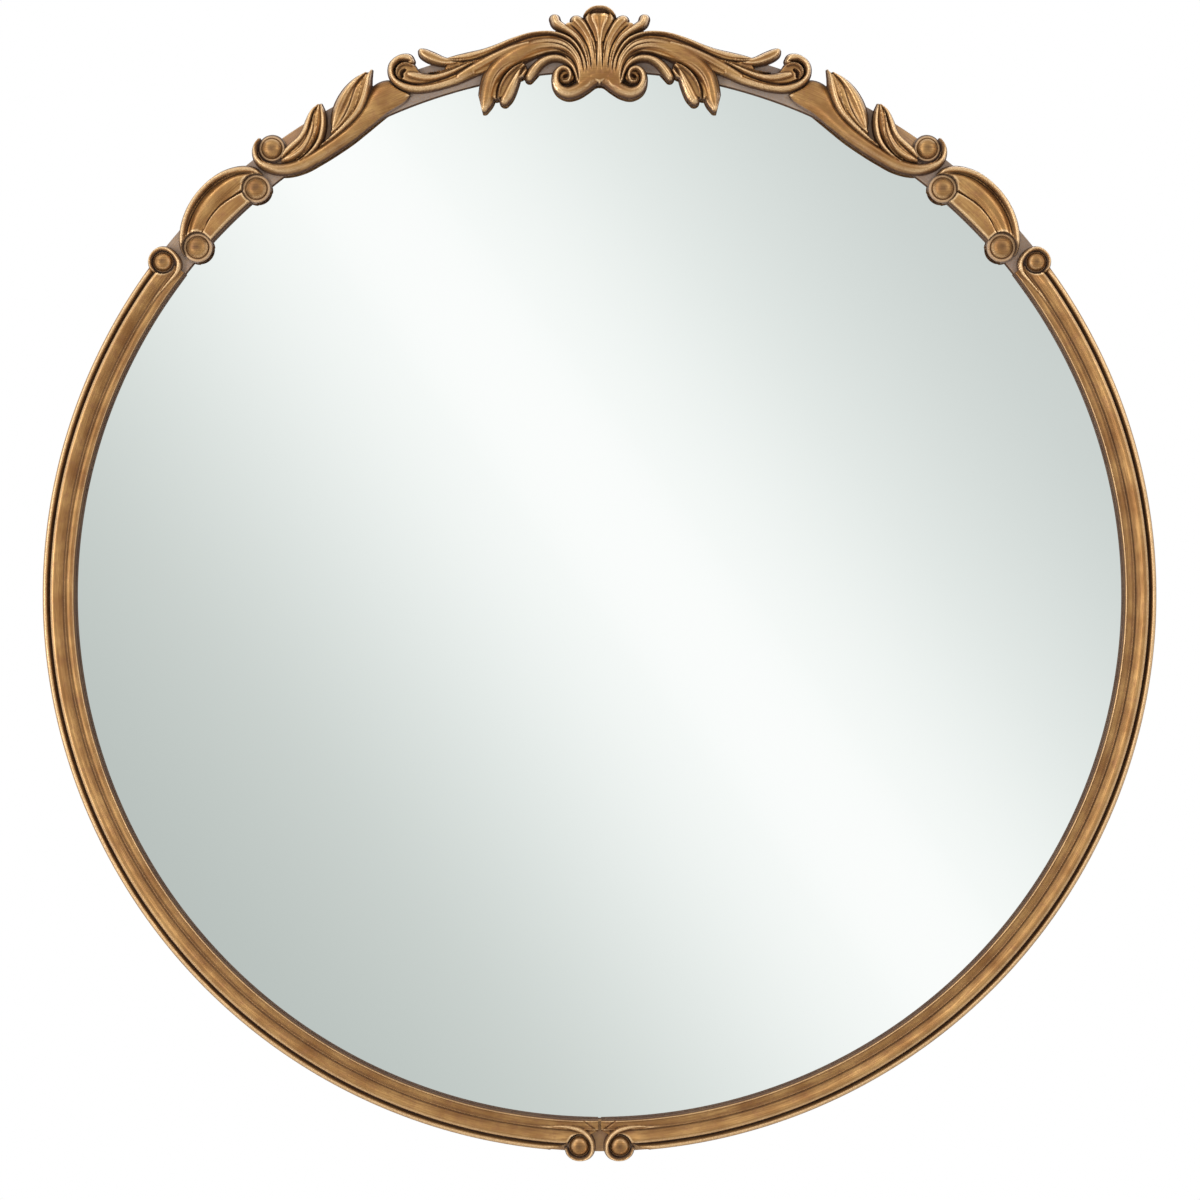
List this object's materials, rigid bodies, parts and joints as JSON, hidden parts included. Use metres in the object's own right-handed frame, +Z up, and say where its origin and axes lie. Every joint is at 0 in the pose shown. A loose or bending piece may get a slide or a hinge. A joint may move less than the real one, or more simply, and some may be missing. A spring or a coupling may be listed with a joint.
{
  "type": "round wall mirror",
  "caption": "Round wall mirror in an antique gilt frame with a palmette crest, leaf sprays, beads and banded mouldings; it hangs on two D-rings.",
  "frame": {"origin": "on the wall's face, behind the centre of the glass", "axes": "+Y into the wall, so the front faces -Y; +Z up, towards the crest; +X to the viewer's right"},
  "size_m": [0.762, 0.0348, 0.7902],
  "materials": {
    "antique_gilt": "cast resin, gilded and toned to an antique bronze gold, rubbed on the crests",
    "mirror": "silvered float glass, polished",
    "board": "hardboard, unpainted",
    "screw_steel": "zinc-plated",
    "hanger_steel": "zinc-plated, satin",
    "rubber": "moulded, matt"
  },
  "bodies": {
    "root": {"frame_ring": "antique_gilt", "crest_palmette": "antique_gilt", "crest_arm_right": "antique_gilt", "crest_arm_left": "antique_gilt", "leaf_spray_right": "antique_gilt", "leaf_spray_left": "antique_gilt", "leaf_bead_right": "antique_gilt", "leaf_bead_left": "antique_gilt", "shoulder_right": "antique_gilt", "shoulder_left": "antique_gilt", "shoulder_bead_upper_right": "antique_gilt", "shoulder_bead_upper_left": "antique_gilt", "shoulder_bead_lower_right": "antique_gilt", "shoulder_bead_lower_left": "antique_gilt", "moulding_right": "antique_gilt", "moulding_left": "antique_gilt", "side_bead_right": "antique_gilt", "side_bead_left": "antique_gilt", "bottom_bead_right": "antique_gilt", "bottom_bead_left": "antique_gilt", "mirror_glass": "mirror", "backing_board": "board", "board_screw_01": "screw_steel", "board_screw_02": "screw_steel", "board_screw_03": "screw_steel", "board_screw_04": "screw_steel", "board_screw_05": "screw_steel", "board_screw_06": "screw_steel", "board_screw_07": "screw_steel", "board_screw_08": "screw_steel", "board_screw_09": "screw_steel", "board_screw_10": "screw_steel", "hanger_screw_right_1": "screw_steel", "hanger_screw_right_2": "screw_steel", "hanger_screw_left_1": "screw_steel", "hanger_screw_left_2": "screw_steel", "hanger_strap_right": "hanger_steel", "hanger_strap_left": "hanger_steel", "wall_bumper_upper_right": "rubber", "wall_bumper_upper_left": "rubber", "wall_bumper_lower_right": "rubber", "wall_bumper_lower_left": "rubber"},
    "d_ring_right": {"hanger_ring_right": "hanger_steel"},
    "d_ring_left": {"hanger_ring_left": "hanger_steel"}
  },
  "joints": [
    {"name": "hanger_ring_right_hinge", "type": "hinge", "parent": "root", "child": "d_ring_right", "pos_m": [0.205, -0.00417, 0.205], "axis": [1, 0, 0], "range_deg": [0, 180]},
    {"name": "hanger_ring_left_hinge", "type": "hinge", "parent": "root", "child": "d_ring_left", "pos_m": [-0.205, -0.00417, 0.205], "axis": [1, 0, 0], "range_deg": [0, 180]}
  ]
}
